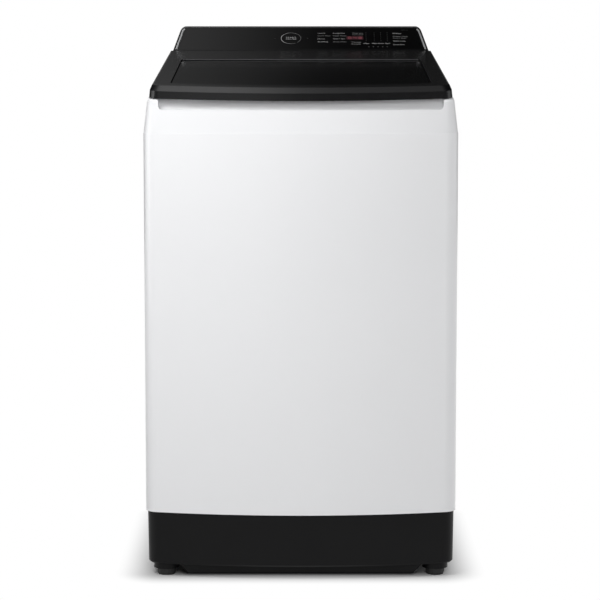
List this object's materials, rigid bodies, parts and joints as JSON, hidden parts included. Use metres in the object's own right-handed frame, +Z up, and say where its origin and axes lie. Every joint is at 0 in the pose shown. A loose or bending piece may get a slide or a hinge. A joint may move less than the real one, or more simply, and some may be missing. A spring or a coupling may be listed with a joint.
{
  "type": "top load washing machine",
  "caption": "Upright top load washing machine: white bowed cabinet, sloping black lid with dark glass, rear touch console, hung tub with spinning basket and wash plate.",
  "frame": {"origin": "on the floor, under the middle of the overall width and depth", "axes": "+Z up, -Y out of the front towards the user, +X to the viewer's right when facing the front"},
  "size_m": [0.61, 0.6749, 1.08],
  "materials": {
    "white_paint": "smooth gloss white",
    "white_plastic": "gloss white moulding",
    "panel_steel": "light grey coated sheet",
    "black_gloss": "piano black",
    "black_plastic": "satin black moulding",
    "dark_glass": "smoked tempered glass",
    "silver_trim": "bright silver",
    "circuit_board": "solder mask",
    "grey_plastic": "grey moulding",
    "tub_plastic": "fine-grained pale grey",
    "stainless": "perforated sheet",
    "steel": "zinc-plated",
    "cast_alloy": "as cast",
    "lamination": "stacked sheet and windings",
    "ferrite": "sintered magnet",
    "rubber": "matt black",
    "filter_plastic": "pale moulding"
  },
  "bodies": {
    "cabinet_body": {"cabinet": "white_paint", "back_panel": "panel_steel", "base": "black_plastic", "foot_nuts": "steel", "top_cover": "white_plastic", "hinge_pins": "steel", "lid_buffers": "rubber", "lid_switch": "black_plastic", "console_housing": "black_gloss", "control_panel": "black_gloss", "console_trim_left": "silver_trim", "console_trim_right": "silver_trim", "control_board": "circuit_board", "inlet_valve": "grey_plastic", "fill_pipe": "rubber", "dispenser_housing": "white_plastic", "suspension_brackets": "steel", "suspension_rods": "steel", "drain_outlet": "grey_plastic", "cord_gland": "rubber"},
    "lid": {"lid_frame": "black_gloss", "lid_glass": "dark_glass", "lid_inner_frame": "black_plastic", "lid_magnet": "ferrite"},
    "drawer": {"detergent_drawer": "white_plastic", "softener_cap": "filter_plastic"},
    "hung_tub": {"tub": "tub_plastic", "tub_cover": "tub_plastic", "suspension_cups": "grey_plastic", "bearing_housing": "cast_alloy", "upper_bearing": "steel", "lower_bearing": "steel", "shaft_seal": "rubber", "stator": "lamination", "drain_pump": "grey_plastic", "drain_hose": "rubber"},
    "basket": {"drum": "stainless", "balance_ring": "grey_plastic", "basket_base": "grey_plastic", "drive_hub": "cast_alloy", "spin_shaft": "steel"},
    "wash_plate": {"pulsator": "grey_plastic", "pulsator_bolt": "steel", "pulsator_cap": "filter_plastic", "wash_shaft": "steel", "rotor": "steel", "rotor_magnets": "ferrite", "rotor_nut": "steel"},
    "left_filter": {"lint_filter_left": "filter_plastic"},
    "right_filter": {"lint_filter_right": "filter_plastic"},
    "front_left_foot": {"foot_front_left": "rubber"},
    "front_right_foot": {"foot_front_right": "rubber"},
    "rear_left_foot": {"foot_rear_left": "rubber"},
    "rear_right_foot": {"foot_rear_right": "rubber"}
  },
  "joints": [
    {"name": "lid_hinge", "type": "hinge", "parent": "cabinet_body", "child": "lid", "pos_m": [0, 0.21229, 1.01607], "axis": [-1, 0, 0], "range_deg": [0, 100]},
    {"name": "drawer_slide", "type": "slide", "parent": "cabinet_body", "child": "drawer", "axis": [0, -1, 0], "range_m": [0, 0.1]},
    {"name": "tub_suspension", "type": "slide", "parent": "cabinet_body", "child": "hung_tub", "axis": [0, 0, 1], "range_m": [-0.02, 0.008], "stiffness_N_per_m": 12000, "springref_m": 0.0255, "deforming": ["drain_hose"]},
    {"name": "basket_spin", "type": "hinge", "parent": "hung_tub", "child": "basket", "pos_m": [0, -0.009, 0.28], "axis": [0, 0, 1], "continuous": true},
    {"name": "wash_plate_spin", "type": "hinge", "parent": "hung_tub", "child": "wash_plate", "pos_m": [0, -0.009, 0.28], "axis": [0, 0, 1], "continuous": true},
    {"name": "left_filter_pull", "type": "slide", "parent": "basket", "child": "left_filter", "axis": [1, 0, 0], "range_m": [0, 0.03]},
    {"name": "right_filter_pull", "type": "slide", "parent": "basket", "child": "right_filter", "axis": [-1, 0, 0], "range_m": [0, 0.03]},
    {"name": "front_left_foot_screw", "type": "slide", "parent": "cabinet_body", "child": "front_left_foot", "axis": [0, 0, 1], "range_m": [-0.012, 0]},
    {"name": "front_right_foot_screw", "type": "slide", "parent": "cabinet_body", "child": "front_right_foot", "axis": [0, 0, 1], "range_m": [-0.012, 0]},
    {"name": "rear_left_foot_screw", "type": "slide", "parent": "cabinet_body", "child": "rear_left_foot", "axis": [0, 0, 1], "range_m": [-0.012, 0]},
    {"name": "rear_right_foot_screw", "type": "slide", "parent": "cabinet_body", "child": "rear_right_foot", "axis": [0, 0, 1], "range_m": [-0.012, 0]}
  ]
}
